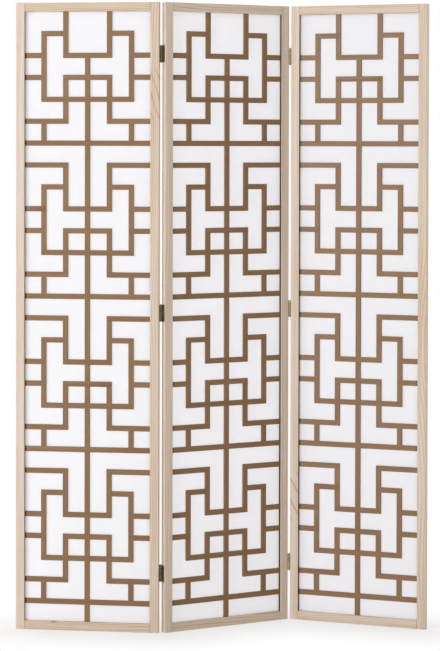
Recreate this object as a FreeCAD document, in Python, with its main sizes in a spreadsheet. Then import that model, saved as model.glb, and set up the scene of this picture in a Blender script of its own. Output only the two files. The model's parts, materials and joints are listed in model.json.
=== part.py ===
import FreeCAD, Part

import os

import Sketcher

# A three-panel folding screen. Each panel is a pine frame whose groove holds a flat
# half-lapped lattice with a sheet of translucent paper against its back. Butt hinges
# on the panels' edges join them: the left pair folds back to back, the right pair
# front to front. Millimetres and degrees, +Z up, the fronts face -Y.

DRIVING_SIZES = (
    ("screen_height", 1780, "floor to top of a panel"),
    ("panel_width", 412, "outside width of one panel"),
    ("frame_depth", 19, "thickness of stiles and rails"),
    ("stile_width", 25, "face width of an upright frame member"),
    ("rail_height", 25, "face height of a top or bottom frame member"),
    ("arris_radius", 1, "rounding of the frame's long edges"),
    ("lattice_recess", 4, "from the frame's front face back to the lattice"),
    ("strip_width", 15, "face width of a lattice strip"),
    ("strip_thickness", 6, "thickness of a lattice strip"),
    ("column_pitch", 63, "spacing of the lattice's upright lines"),
    ("row_pitch", 62, "spacing of the lattice's level lines"),
    ("motif_count", 4, "repeats of the lattice pattern down a panel"),
    ("groove_depth", 8, "depth of the groove that holds lattice and paper"),
    ("groove_end_gap", 1, "from a strip's or the paper's end to the groove's floor"),
    ("paper_thickness", 0.4, "thickness of the paper sheet"),
    ("paper_slack", 0.1, "free space behind the paper in the groove"),
    ("tenon_gap", 0.5, "from a rail tenon's end to the groove's floor"),
    ("hinge_length", 48, "height of a hinge"),
    ("leaf_reach", 16, "how far a hinge leaf covers the panel's edge"),
    ("leaf_thickness", 1.2, "sheet thickness of a hinge leaf"),
    ("leaf_corner_radius", 1.5, "rounding of a leaf's two free corners"),
    ("knuckle_radius", 2.5, "outside radius of the hinge barrel"),
    ("knuckle_proud", 1.5, "barrel axis in front of the face it stands on"),
    ("knuckle_end_gap", 0.2, "play between two knuckles along the pin"),
    ("knuckle_clearance", 0.3, "from a leaf to the other leaf's knuckle"),
    ("pin_radius", 1.1, "radius of the hinge pin"),
    ("pin_fit", 0.05, "radial play of the pin in its knuckles"),
    ("pin_head_radius", 2.1, "radius of the pin's riveted heads"),
    ("pin_crown_radius", 1.25, "radius of a riveted head's flat end"),
    ("pin_head_height", 0.9, "height of a riveted head"),
    ("top_hinge_drop", 145, "top of a panel down to the upper hinge's middle"),
    ("middle_hinge_rise", 904, "floor to the middle hinge's middle"),
    ("bottom_hinge_rise", 167, "floor to the lower hinge's middle"),
    ("screw_length", 12, "length of a hinge screw under its head's top"),
    ("screw_radius", 1.25, "radius of the screw's shank"),
    ("screw_head_radius", 2.35, "radius of the countersunk head"),
    ("screw_tip_length", 3, "length of the screw's pointed end"),
    ("screw_point_radius", 0.125, "radius of the blunt point of the screw"),
    ("screw_hole_fit", 0.1, "radial play of a screw in its leaf"),
    ("pilot_hole_fit", 0.05, "radial play of a screw in the wood"),
    ("pilot_hole_spare", 0.5, "depth of a pilot hole past the screw's tip"),
    ("screw_end_inset", 6, "leaf end to the screw's axis"),
    ("screw_edge_inset", 6, "leaf's free edge to the screw's axis"),
    ("recess_width", 0.45, "width of a slot of the screw's cross recess"),
    ("recess_length", 2.6, "length of a slot of the screw's cross recess"),
    ("recess_depth", 0.7, "depth of the screw's cross recess"),
    ("middle_yaw", 31.5, "the middle panel's turn from the X axis"),
    ("left_fold", 39.5, "the left panel's fold away from the middle panel's plane"),
    ("right_fold", 53.5, "the right panel's fold away from the middle panel's plane"),
)

PANELS = ("left", "middle", "right")
LEFT_EDGE = -3
RIGHT_EDGE = 3
ROWS_PER_MOTIF = 7
KNUCKLES = 3
SAME_SPOT = 1e-6

doc = FreeCAD.newDocument("folding_screen")
sheet = doc.addObject("Spreadsheet::Sheet", "Sizes")
for line, (alias, number, meaning) in enumerate(DRIVING_SIZES, start=1):
    sheet.set("A%d" % line, meaning)
    sheet.set("B%d" % line, str(number))
    sheet.setAlias("B%d" % line, alias)
doc.recompute()


class Size:
    """A length that knows its number and the sheet formula that it comes from."""

    def __init__(self, number, formula):
        self.number = float(number)
        self.formula = formula

    @staticmethod
    def of(other):
        return other if isinstance(other, Size) else Size(other, repr(float(other)))

    def __add__(self, other):
        other = Size.of(other)
        return Size(self.number + other.number, "(%s + %s)" % (self.formula, other.formula))

    def __sub__(self, other):
        other = Size.of(other)
        return Size(self.number - other.number, "(%s - %s)" % (self.formula, other.formula))

    def __mul__(self, factor):
        return Size(self.number * factor, "(%s * %s)" % (self.formula, repr(float(factor))))

    def __truediv__(self, factor):
        return self * (1.0 / factor)

    def __neg__(self):
        return self * -1


def size(alias):
    return Size(getattr(sheet, alias), "Sizes." + alias)


HALF_WIDTH = size("panel_width") / 2
HALF_DEPTH = size("frame_depth") / 2
TOP = size("screen_height")
FLOOR = Size.of(0)
OPENING_HALF = HALF_WIDTH - size("stile_width")
GROOVE_FRONT = size("lattice_recess") - HALF_DEPTH
LATTICE_BACK = GROOVE_FRONT + size("strip_thickness")
GROOVE_BACK = LATTICE_BACK + size("paper_thickness") + size("paper_slack")
HOUSING = size("groove_depth") - size("groove_end_gap")
BARREL_X = HALF_WIDTH + size("knuckle_radius")
BARREL_Y = HALF_DEPTH + size("knuckle_proud")
HINGE_HEIGHTS = {
    "upper": TOP - size("top_hinge_drop"),
    "middle": size("middle_hinge_rise"),
    "lower": size("bottom_hinge_rise"),
}
HALF_HINGE = size("hinge_length") / 2
LEAF_END_Y = size("knuckle_proud") + size("leaf_reach")
SCREW_Y = LEAF_END_Y - size("screw_edge_inset")
SCREW_RISE = HALF_HINGE - size("screw_end_inset")


# ---- where the panels stand ---------------------------------------------------------

def turn_about_z(degrees):
    return FreeCAD.Rotation(FreeCAD.Vector(0, 0, 1), degrees)


def panel_placements():
    """The three panels, joined at their hinge axes and centred over the origin."""
    yaw = {"middle": sheet.middle_yaw}
    yaw["left"] = sheet.middle_yaw - sheet.left_fold
    yaw["right"] = sheet.middle_yaw - sheet.right_fold
    x, y = BARREL_X.number, BARREL_Y.number
    ends = {
        "left": (FreeCAD.Vector(-x, y, 0), FreeCAD.Vector(x, y, 0)),
        "right": (FreeCAD.Vector(x, -y, 0), FreeCAD.Vector(-x, -y, 0)),
    }
    turn = {name: turn_about_z(yaw[name]) for name in PANELS}
    base = {"middle": FreeCAD.Vector(0, 0, 0)}
    for name, (on_middle, on_panel) in ends.items():
        base[name] = turn["middle"].multVec(on_middle) - turn[name].multVec(on_panel)

    corner_x = HALF_WIDTH.number - sheet.arris_radius
    corner_y = HALF_DEPTH.number - sheet.arris_radius
    corners = [
        base[name] + turn[name].multVec(FreeCAD.Vector(sx * corner_x, sy * corner_y, 0))
        for name in PANELS
        for sx in (-1, 1)
        for sy in (-1, 1)
    ]
    centre = FreeCAD.Vector(
        (min(c.x for c in corners) + max(c.x for c in corners)) / 2,
        (min(c.y for c in corners) + max(c.y for c in corners)) / 2,
        0,
    )
    return {name: FreeCAD.Placement(base[name] - centre, turn[name]) for name in PANELS}


PLACE = panel_placements()


def at(panel, x, y, z, rotation=FreeCAD.Rotation()):
    """A placement given in a panel's own axes."""
    spot = FreeCAD.Vector(x.number, y.number, z.number)
    return PLACE[panel].multiply(FreeCAD.Placement(spot, rotation))


# ---- sketch and body helpers ----------------------------------------------------------

SUB_PARTS = []


def keep(part, label):
    part.Label = label
    SUB_PARTS.append(part)
    return part


def new_body(label, panel):
    body = keep(doc.addObject("PartDesign::Body", label), label)
    body.Placement = PLACE[panel]
    return body


def sketch_on(body, role, offset=FLOOR):
    """A sketch on one of the body's own origin planes, moved along the plane's normal."""
    plane = [f for f in body.Origin.OriginFeatures if f.Role == role][0]
    sketch = body.newObject("Sketcher::SketchObject", body.Label + "_sketch")
    sketch.AttachmentSupport = [(plane, "")]
    sketch.MapMode = "FlatFace"
    sketch.setExpression(".AttachmentOffset.Base.z", offset.formula)
    return sketch


def add_rectangle(sketch, x_low, x_high, y_low, y_high):
    x0, x1, y0, y1 = (v.number for v in (x_low, x_high, y_low, y_high))
    corners = [FreeCAD.Vector(x, y, 0) for x, y in ((x0, y0), (x1, y0), (x1, y1), (x0, y1))]
    first = sketch.GeometryCount
    sides = [Part.LineSegment(corners[i], corners[(i + 1) % 4]) for i in range(4)]
    sketch.addGeometry(sides, False)
    joined = [
        Sketcher.Constraint("Coincident", first + i, 2, first + (i + 1) % 4, 1) for i in range(4)
    ]
    level = [Sketcher.Constraint("Horizontal", first + i) for i in (0, 2)]
    upright = [Sketcher.Constraint("Vertical", first + i) for i in (1, 3)]
    sketch.addConstraint(joined + level + upright)
    for kind, corner, value in (
        ("DistanceX", 0, x_low),
        ("DistanceX", 2, x_high),
        ("DistanceY", 0, y_low),
        ("DistanceY", 2, y_high),
    ):
        index = sketch.addConstraint(
            Sketcher.Constraint(kind, -1, 1, first + corner, 1, value.number)
        )
        sketch.setExpression("Constraints[%d]" % index, value.formula)


def add_circle(sketch, x, y, radius):
    centre = FreeCAD.Vector(x.number, y.number, 0)
    circle = sketch.addGeometry(Part.Circle(centre, FreeCAD.Vector(0, 0, 1), radius.number), False)
    for constraint, value in (
        (Sketcher.Constraint("DistanceX", -1, 1, circle, 3, x.number), x),
        (Sketcher.Constraint("DistanceY", -1, 1, circle, 3, y.number), y),
        (Sketcher.Constraint("Radius", circle, radius.number), radius),
    ):
        index = sketch.addConstraint(constraint)
        sketch.setExpression("Constraints[%d]" % index, value.formula)


def pad(body, sketch, length, midplane=False):
    feature = body.newObject("PartDesign::Pad", body.Label + "_pad")
    feature.Profile = sketch
    feature.Midplane = midplane
    feature.setExpression("Length", length.formula)
    return feature


def pocket(body, sketch, length=None, reverse=False, midplane=False):
    feature = body.newObject("PartDesign::Pocket", body.Label + "_pocket")
    feature.Profile = sketch
    feature.Reversed = reverse
    feature.Midplane = midplane
    if length is None:
        feature.Type = "ThroughAll"
    else:
        feature.setExpression("Length", length.formula)
    return feature


def round_long_edges(body, feature, direction, corners):
    """Rounds the edges that run along a direction through the given section corners."""
    doc.recompute()
    across = [i for i in range(3) if i != direction]
    names = []
    for number, edge in enumerate(feature.Shape.Edges, start=1):
        ends = [v.Point for v in edge.Vertexes]
        if len(ends) != 2:
            continue
        if any(abs(ends[0][i] - ends[1][i]) > SAME_SPOT for i in across):
            continue
        for corner in corners:
            if all(abs(ends[0][i] - c) < SAME_SPOT for i, c in zip(across, corner)):
                names.append("Edge%d" % number)
    fillet = body.newObject("PartDesign::Fillet", body.Label + "_arris")
    fillet.Base = (feature, names)
    fillet.setExpression("Radius", "Sizes.arris_radius")
    return fillet


# ---- solids from primitives ------------------------------------------------------------

def primitive(kind, spot, rotation=None, **lengths):
    """A Part primitive whose lengths follow the sheet, at a spot in its owner's axes."""
    solid = doc.addObject("Part::" + kind, kind.lower())
    for name, value in lengths.items():
        solid.setExpression(name, value.formula)
    x, y, z = (Size.of(v) for v in spot)
    solid.setExpression(".Placement.Base.x", x.formula)
    solid.setExpression(".Placement.Base.y", y.formula)
    solid.setExpression(".Placement.Base.z", z.formula)
    if rotation is not None:
        solid.Placement.Rotation = rotation
    return solid


def fuse(solids):
    joined = doc.addObject("Part::MultiFuse", "fused")
    joined.Shapes = solids
    joined.Refine = True
    return joined


def compound(solids):
    group = doc.addObject("Part::Compound", "group")
    group.Links = solids
    return group


def cut(base, tools):
    result = doc.addObject("Part::Cut", "cut")
    result.Base = base
    result.Tool = tools[0] if len(tools) == 1 else fuse(tools)
    return result


# ---- pine frame -------------------------------------------------------------------------

def make_stile(panel, side, hinged):
    """An upright: grooved along its inner edge, drilled where hinge leaves are screwed on."""
    label = "%s_panel_%s_stile" % (panel, "left" if side < 0 else "right")
    body = new_body(label, panel)
    outer, inner = HALF_WIDTH * side, OPENING_HALF * side
    groove_floor = (OPENING_HALF + size("groove_depth")) * side
    low, high = (outer, inner) if side < 0 else (inner, outer)
    section = sketch_on(body, "XY_Plane")
    add_rectangle(section, low, high, -HALF_DEPTH, HALF_DEPTH)
    pad(body, section, TOP)

    low, high = (groove_floor, inner) if side < 0 else (inner, groove_floor)
    groove = sketch_on(body, "XY_Plane")
    add_rectangle(groove, low, high, GROOVE_FRONT, GROOVE_BACK)
    grooved = pocket(body, groove, reverse=True)
    corners = [(x.number, sy * HALF_DEPTH.number) for x in (outer, inner) for sy in (-1, 1)]
    round_long_edges(body, grooved, 2, corners)

    if hinged:
        back_or_front = 1 if hinged == "back" else -1
        holes = sketch_on(body, "YZ_Plane", outer)
        hole_y = (BARREL_Y - SCREW_Y) * back_or_front
        hole_radius = size("screw_radius") + size("pilot_hole_fit")
        for height in HINGE_HEIGHTS.values():
            for rise in (SCREW_RISE, -SCREW_RISE):
                add_circle(holes, hole_y, height + rise, hole_radius)
        depth = size("screw_length") - size("leaf_thickness") + size("pilot_hole_spare")
        pocket(body, holes, depth, reverse=side < 0)
    return body


def make_rail(panel, end):
    """A level member: grooved along its inner edge, with stub tenons in the stiles' grooves."""
    body = new_body("%s_panel_%s_rail" % (panel, end), panel)
    if end == "top":
        low, high = TOP - size("rail_height"), TOP
        groove_low, groove_high = low, low + size("groove_depth")
        tenon_low, tenon_high = groove_high, high
    else:
        low, high = FLOOR, size("rail_height")
        groove_low, groove_high = high - size("groove_depth"), high
        tenon_low, tenon_high = low, groove_low
    span = OPENING_HALF * 2
    section = sketch_on(body, "YZ_Plane")
    add_rectangle(section, -HALF_DEPTH, HALF_DEPTH, low, high)
    pad(body, section, span, midplane=True)
    groove = sketch_on(body, "YZ_Plane")
    add_rectangle(groove, GROOVE_FRONT, GROOVE_BACK, groove_low, groove_high)
    grooved = pocket(body, groove, span, midplane=True)
    corners = [(sy * HALF_DEPTH.number, z.number) for z in (low, high) for sy in (-1, 1)]
    round_long_edges(body, grooved, 0, corners)
    tenon = sketch_on(body, "YZ_Plane")
    add_rectangle(tenon, GROOVE_FRONT, GROOVE_BACK, tenon_low, tenon_high)
    pad(body, tenon, span + (size("groove_depth") - size("tenon_gap")) * 2, midplane=True)
    return body


# ---- paper ------------------------------------------------------------------------------

def make_paper(panel):
    """One sheet behind the lattice, its edges in the frame's groove."""
    label = "%s_panel_paper" % panel
    paper = keep(doc.addObject("Part::Box", label), label)
    bottom = size("rail_height") - HOUSING
    paper.setExpression("Length", ((OPENING_HALF + HOUSING) * 2).formula)
    paper.setExpression("Width", "Sizes.paper_thickness")
    paper.setExpression("Height", (TOP - bottom * 2).formula)
    paper.Placement = at(panel, -(OPENING_HALF + HOUSING), LATTICE_BACK, bottom)
    return paper


# ---- lattice ----------------------------------------------------------------------------
# Upright lines are numbered -2 to 2 from the left, with 0 on the panel's middle.
# Level lines are numbered downwards from 0 at the top rail's lower edge.

def line_x(column):
    if column == LEFT_EDGE:
        return -(OPENING_HALF + HOUSING)
    if column == RIGHT_EDGE:
        return OPENING_HALF + HOUSING
    return size("column_pitch") * column


def line_z(row):
    return TOP - size("rail_height") - size("row_pitch") * row


HALF_STRIP = size("strip_width") / 2
MOTIFS = range(int(sheet.motif_count))
LAST_ROW = ROWS_PER_MOTIF * int(sheet.motif_count)
ABOVE_TOP = -1


def in_motifs(strips, skip_first=False):
    """Repeats strips given by their row in the pattern (1 to 7) for every motif."""
    return [
        (a, b, ROWS_PER_MOTIF * motif + row - 1)
        for motif in MOTIFS
        for a, b, row in strips
        if not (skip_first and motif == 0)
    ]


def uprights_in_motifs(strips, skip_first=False):
    return [
        (column, ROWS_PER_MOTIF * motif + upper - 1, ROWS_PER_MOTIF * motif + lower - 1)
        for motif in MOTIFS
        for column, upper, lower in strips
        if not (skip_first and motif == 0)
    ]


LEVEL_STRIPS = {
    "full_bars": in_motifs([(LEFT_EDGE, RIGHT_EDGE, 7)]),
    "side_bars": in_motifs([(LEFT_EDGE, -1, 1), (1, RIGHT_EDGE, 1)], skip_first=True)
    + in_motifs([(LEFT_EDGE, -1, 6), (1, RIGHT_EDGE, 6)]),
    "middle_bars": in_motifs([(-1, 1, 3), (-1, 1, 4), (-2, 2, 5)]),
    "short_bars": in_motifs(
        [(-2, -1, 2), (1, 2, 2)]
        + [(LEFT_EDGE, -2, row) for row in (3, 4)]
        + [(2, RIGHT_EDGE, row) for row in (3, 4)]
    ),
}
UPRIGHT_STRIPS = {
    "centre_bar": [(0, 2, LAST_ROW)],
    "inner_uprights": [(-1, ABOVE_TOP, 2), (1, ABOVE_TOP, 2)]
    + uprights_in_motifs([(-1, 1, 3), (1, 1, 3)], skip_first=True)
    + uprights_in_motifs([(-1, 4, 6), (1, 4, 6)]),
    "outer_uprights": uprights_in_motifs([(-2, 2, 5), (2, 2, 5), (-2, 6, 7), (2, 6, 7)]),
}


def crossings(level, upright):
    """Where a level and an upright strip share a square and are halved into each other."""
    left, right, row = level
    column, upper, lower = upright
    return [(column, row)] if left <= column <= right and upper <= row <= lower else []


def level_outline(strip):
    left, right, row = strip
    low = line_x(left) if left == LEFT_EDGE else line_x(left) - HALF_STRIP
    high = line_x(right) if right == RIGHT_EDGE else line_x(right) + HALF_STRIP
    return low, high, line_z(row) - HALF_STRIP, line_z(row) + HALF_STRIP


def upright_outline(strip):
    column, upper, lower = strip
    housed_top = TOP - size("rail_height") + HOUSING
    housed_bottom = size("rail_height") - HOUSING
    high = housed_top if upper == ABOVE_TOP else line_z(upper) + HALF_STRIP
    low = housed_bottom if lower == LAST_ROW else line_z(lower) - HALF_STRIP
    return line_x(column) - HALF_STRIP, line_x(column) + HALF_STRIP, low, high


def strip_box(outline, front, depth):
    """A box that stands on an outline of the panel's face and reaches back from a depth."""
    x_low, x_high, z_low, z_high = outline
    return primitive(
        "Box", (x_low, front, z_low), Length=x_high - x_low, Width=depth, Height=z_high - z_low
    )


def square_outline(column, row):
    x, z = line_x(column), line_z(row)
    return x - HALF_STRIP, x + HALF_STRIP, z - HALF_STRIP, z + HALF_STRIP


def make_strips(panel, name, outlines, shared_squares, notch_front):
    """Flat strips, cut away to half their thickness from a depth where they cross."""
    strips = compound([strip_box(o, GROOVE_FRONT, size("strip_thickness")) for o in outlines])
    half = size("strip_thickness") / 2
    notches = [strip_box(square_outline(*square), notch_front, half) for square in shared_squares]
    lattice = keep(cut(strips, [compound(notches)]), "%s_panel_%s" % (panel, name))
    lattice.Placement = PLACE[panel]
    return lattice


def make_lattice(panel):
    """Level strips keep their front half at a crossing, uprights their back half."""
    lap_plane = GROOVE_FRONT + size("strip_thickness") / 2
    all_levels = [s for strips in LEVEL_STRIPS.values() for s in strips]
    all_uprights = [s for strips in UPRIGHT_STRIPS.values() for s in strips]
    for name, strips in LEVEL_STRIPS.items():
        shared = [c for s in strips for u in all_uprights for c in crossings(s, u)]
        make_strips(panel, name, [level_outline(s) for s in strips], shared, lap_plane)
    for name, strips in UPRIGHT_STRIPS.items():
        shared = [c for s in strips for lv in all_levels for c in crossings(lv, s)]
        make_strips(panel, name, [upright_outline(s) for s in strips], shared, GROOVE_FRONT)


# ---- hinges -----------------------------------------------------------------------------
# A leaf is drawn with the pin on its own Z axis, halfway up, and the wood it is screwed
# to on the -X side. Its plate runs from the barrel towards -Y.

INTO_WOOD = FreeCAD.Rotation(FreeCAD.Vector(0, 1, 0), -90)
THIRD = size("hinge_length") / KNUCKLES


def knuckle_zone(low, high):
    """The space round another leaf's knuckle, from one height to another."""
    reach = size("knuckle_radius") + size("knuckle_clearance")
    return primitive(
        "Box",
        (-reach, -reach, low),
        Length=reach * 2,
        Width=reach * 2,
        Height=high - low,
    )


def make_leaf(label, placement, outer_knuckles):
    radius = size("knuckle_radius")
    plate = primitive(
        "Box",
        (-radius, -LEAF_END_Y, -HALF_HINGE),
        Length=size("leaf_thickness"),
        Width=LEAF_END_Y,
        Height=size("hinge_length"),
    )
    doc.recompute()
    corners = doc.addObject("Part::Fillet", "rounded_plate")
    corners.Base = plate
    corners.Edges = [
        (number, sheet.leaf_corner_radius, sheet.leaf_corner_radius)
        for number, edge in enumerate(plate.Shape.Edges, start=1)
        if all(abs(v.Y + LEAF_END_Y.number) < SAME_SPOT for v in edge.Vertexes)
        and abs(edge.Vertexes[0].X - edge.Vertexes[1].X) > SAME_SPOT
    ]
    barrel = primitive("Cylinder", (0, 0, -HALF_HINGE), Radius=radius, Height=size("hinge_length"))
    bore = size("pin_radius") + size("pin_fit")
    tools = [primitive("Cylinder", (0, 0, -HALF_HINGE), Radius=bore, Height=size("hinge_length"))]
    middle_half = THIRD / 2
    play = size("knuckle_end_gap") / 2
    if outer_knuckles:
        tools.append(knuckle_zone(-(middle_half + play), middle_half + play))
    else:
        tools.append(knuckle_zone(-(HALF_HINGE + play), -(middle_half - play)))
        tools.append(knuckle_zone(middle_half - play, HALF_HINGE + play))
    wood_face = -radius
    hole = size("screw_radius") + size("screw_hole_fit")
    head = size("screw_head_radius") + size("screw_hole_fit")
    for rise in (SCREW_RISE, -SCREW_RISE):
        tools.append(
            primitive(
                "Cylinder",
                (wood_face + size("leaf_thickness"), -SCREW_Y, rise),
                INTO_WOOD,
                Radius=hole,
                Height=size("leaf_thickness"),
            )
        )
        tools.append(
            primitive(
                "Cone",
                (wood_face + size("leaf_thickness"), -SCREW_Y, rise),
                INTO_WOOD,
                Radius1=head,
                Radius2=hole,
                Height=head - hole,
            )
        )
    leaf = keep(cut(fuse([corners, barrel]), tools), label)
    leaf.Placement = placement
    return leaf


def make_pin(label, placement):
    head = size("pin_head_radius")
    crown = size("pin_crown_radius")
    height = size("pin_head_height")
    shaft = primitive(
        "Cylinder",
        (0, 0, -HALF_HINGE),
        Radius=size("pin_radius"),
        Height=size("hinge_length"),
    )
    upper = primitive("Cone", (0, 0, HALF_HINGE), Radius1=head, Radius2=crown, Height=height)
    lower = primitive(
        "Cone", (0, 0, -HALF_HINGE - height), Radius1=crown, Radius2=head, Height=height
    )
    pin = keep(fuse([shaft, upper, lower]), label)
    pin.Placement = placement
    return pin


def make_screw(placement):
    """A countersunk wood screw with its head's top at the origin, driven towards -X."""
    shank = size("screw_radius")
    head_height = size("screw_head_radius") - shank
    straight = size("screw_length") - size("screw_tip_length")
    head = primitive(
        "Cone",
        (0, 0, 0),
        INTO_WOOD,
        Radius1=size("screw_head_radius"),
        Radius2=shank,
        Height=head_height,
    )
    body = primitive(
        "Cylinder", (-head_height, 0, 0), INTO_WOOD, Radius=shank, Height=straight - head_height
    )
    tip = primitive(
        "Cone",
        (-straight, 0, 0),
        INTO_WOOD,
        Radius1=shank,
        Radius2=size("screw_point_radius"),
        Height=size("screw_tip_length"),
    )
    long_side, short_side = size("recess_length"), size("recess_width")
    slots = [
        primitive(
            "Box",
            (-size("recess_depth"), -wide / 2, -tall / 2),
            Length=size("recess_depth"),
            Width=wide,
            Height=tall,
        )
        for wide, tall in ((long_side, short_side), (short_side, long_side))
    ]
    screw = cut(fuse([head, body, tip]), slots)
    screw.Placement = placement
    return screw


HALF_TURN = {
    "none": FreeCAD.Rotation(),
    "y": FreeCAD.Rotation(FreeCAD.Vector(0, 1, 0), 180),
    "x": FreeCAD.Rotation(FreeCAD.Vector(1, 0, 0), 180),
    "z": FreeCAD.Rotation(FreeCAD.Vector(0, 0, 1), 180),
}
# joint, panel, barrel's place on the panel (x, y sides), turn of the leaf, outer knuckles
LEAVES = (
    ("left_joint", "left", 1, 1, "none", True),
    ("left_joint", "middle", -1, 1, "y", False),
    ("right_joint", "middle", 1, -1, "x", False),
    ("right_joint", "right", -1, -1, "z", True),
)


def make_hinges():
    for joint, panel, side_x, side_y, turn, outer_knuckles in LEAVES:
        screws = []
        for level, height in HINGE_HEIGHTS.items():
            place = at(panel, BARREL_X * side_x, BARREL_Y * side_y, height, HALF_TURN[turn])
            make_leaf("%s_%s_hinge_%s_leaf" % (joint, level, panel), place, outer_knuckles)
            if outer_knuckles:
                make_pin("%s_%s_hinge_pin" % (joint, level), place)
            for rise in (SCREW_RISE, -SCREW_RISE):
                spot = FreeCAD.Vector(
                    sheet.leaf_thickness - sheet.knuckle_radius, -SCREW_Y.number, rise.number
                )
                head_top = FreeCAD.Placement(spot, FreeCAD.Rotation())
                screws.append(make_screw(place.multiply(head_top)))
        keep(compound(screws), "%s_%s_screws" % (joint, panel))


# ---- the whole screen -------------------------------------------------------------------

HINGED_FACES = {
    ("left", 1): "back",
    ("middle", -1): "back",
    ("middle", 1): "front",
    ("right", -1): "front",
}

for panel_name in PANELS:
    for stile_side in (-1, 1):
        make_stile(panel_name, stile_side, HINGED_FACES.get((panel_name, stile_side)))
    for rail_end in ("top", "bottom"):
        make_rail(panel_name, rail_end)
    make_paper(panel_name)
    make_lattice(panel_name)
make_hinges()
doc.recompute()

for thing in doc.Objects:
    if "Invalid" in thing.State or "Error" in thing.State:
        raise RuntimeError("%s failed to build: %s" % (thing.Label, thing.State))
for part in SUB_PARTS:
    if part.Shape.isNull() or not part.Shape.isValid() or not part.Shape.Solids:
        raise RuntimeError("%s has no valid solid" % part.Label)

os.makedirs("parts", exist_ok=True)
for part in SUB_PARTS:
    part.Shape.exportStep(os.path.join("parts", part.Label + ".step"))

whole = Part.makeCompound([part.Shape for part in SUB_PARTS]).BoundBox
print("nodes %d, solids %d" % (len(SUB_PARTS), sum(len(p.Shape.Solids) for p in SUB_PARTS)))
print("box X %.3f %.3f" % (whole.XMin, whole.XMax))
print("box Y %.3f %.3f" % (whole.YMin, whole.YMax))
print("box Z %.3f %.3f" % (whole.ZMin, whole.ZMax))
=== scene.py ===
import json
import math

import bmesh
import bpy
import numpy as np
from mathutils import Matrix, Vector

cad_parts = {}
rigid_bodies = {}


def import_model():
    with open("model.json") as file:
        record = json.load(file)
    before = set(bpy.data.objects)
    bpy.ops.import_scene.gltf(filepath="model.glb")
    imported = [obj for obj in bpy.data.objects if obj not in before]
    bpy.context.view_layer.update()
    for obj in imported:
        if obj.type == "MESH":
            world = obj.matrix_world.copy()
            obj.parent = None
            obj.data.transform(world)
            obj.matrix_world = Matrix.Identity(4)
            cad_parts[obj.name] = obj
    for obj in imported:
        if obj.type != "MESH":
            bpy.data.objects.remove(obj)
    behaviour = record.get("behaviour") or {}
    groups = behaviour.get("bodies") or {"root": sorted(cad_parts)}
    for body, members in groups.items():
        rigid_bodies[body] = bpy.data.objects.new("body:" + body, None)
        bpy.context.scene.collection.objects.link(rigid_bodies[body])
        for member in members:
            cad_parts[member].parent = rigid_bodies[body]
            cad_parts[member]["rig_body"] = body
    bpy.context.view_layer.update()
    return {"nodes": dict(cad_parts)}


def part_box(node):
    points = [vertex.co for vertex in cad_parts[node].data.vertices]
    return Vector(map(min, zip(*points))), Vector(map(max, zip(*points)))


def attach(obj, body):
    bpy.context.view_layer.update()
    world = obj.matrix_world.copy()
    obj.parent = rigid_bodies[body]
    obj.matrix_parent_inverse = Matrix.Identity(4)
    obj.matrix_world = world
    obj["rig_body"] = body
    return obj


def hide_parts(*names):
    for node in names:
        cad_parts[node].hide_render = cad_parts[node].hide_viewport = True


bl_info = {
    "name": "Shoji folding screen",
    "version": (1, 0, 0),
    "blender": (4, 5, 0),
    "location": "3D View > Sidebar > Screen",
    "description": "Pine, stained lattice, paper and bronze for a folding screen",
    "category": "Object",
}

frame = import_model()

PANELS = ("left", "middle", "right")
PANEL_BODIES = {name: name + "_panel" for name in PANELS}

# How far each panel is turned about the upright axis, in degrees.
PANEL_TURNS = {"left": -8.0, "middle": 31.5, "right": -22.0}

UPRIGHT_FRAME = ("left_stile", "right_stile")
LEVEL_FRAME = ("top_rail", "bottom_rail")
LEVEL_STRIPS = ("full_bars", "side_bars", "middle_bars", "short_bars")
UPRIGHT_STRIPS = ("centre_bar", "inner_uprights", "outer_uprights")

# The values that are stored on a mesh's corners for its material to read.
GRAIN_PLACE = "grain_place"
PIECE_TONE = "piece_tone"
PANEL_PLACE = "panel_place"
KNOT_PLACE = "knot_place"
FLAME_PLACE = "flame_place"
RAIL_PLACE = "rail_place"
PAINTED_END_SHADOW = "dark_end"

# Corners nearer than this, in metres, are one point.
TOUCHING = 1e-6

# How dark each panel's strips are, from 0 to 1, and how much one strip differs from the next. The
# middle panel's higher value is painted shade, for the shade that panel stands in.
STRIP_TONES_AND_SHADE = {"left": 0.30, "middle": 0.54, "right": 0.30}
STRIP_TONE_SPREAD = 0.16

# How dark the painted shadow on the strips' left ends by the stile is, from 0 to 1.
PAINTED_END_SHADOWS = {"left": 0.95, "middle": 0.45, "right": 0.95}

# How dark each frame member's board is, from 0 for the palest to 1.
BOARD_TONES = {
    "left_panel_left_stile": 0.04,
    "left_panel_right_stile": 0.40,
    "left_panel_top_rail": 0.58,
    "left_panel_bottom_rail": 0.46,
    "middle_panel_left_stile": 0.14,
    "middle_panel_right_stile": 0.10,
    "middle_panel_top_rail": 0.24,
    "middle_panel_bottom_rail": 0.32,
    "right_panel_left_stile": 0.14,
    "right_panel_right_stile": 0.30,
    "right_panel_top_rail": 0.42,
    "right_panel_bottom_rail": 0.38,
}

# The one knot that shows: along its panel and up it, in metres.
KNOTS = {"left_panel_bottom_rail": (-0.096, 0.0235)}

# Where growth rings slant across a board: along its panel, up it, and how steeply they fall.
FLAMES = {
    "left_panel_right_stile": (0.1935, 1.520, 3.0),
    "right_panel_left_stile": (-0.1935, 0.360, 1.7),
}

# Far enough, in metres, to put a knot or slanting rings off a board that has none.
FAR_AWAY = 1.0

# The size, in metres, of the block of grain that the pieces are cut from.
GRAIN_BLOCK = 7.0


# ---- where a piece sits on its panel ----------------------------------------------------


def panel_of(node_name):
    """The panel that a node is fixed to."""
    body = frame["nodes"][node_name]["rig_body"]
    return next(name for name in PANELS if PANEL_BODIES[name] == body)


def panel_centre(panel):
    """The middle of a panel's paper, seen from above."""
    low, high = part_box(panel + "_panel_paper")
    return (low.x + high.x) / 2, (low.y + high.y) / 2


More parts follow.
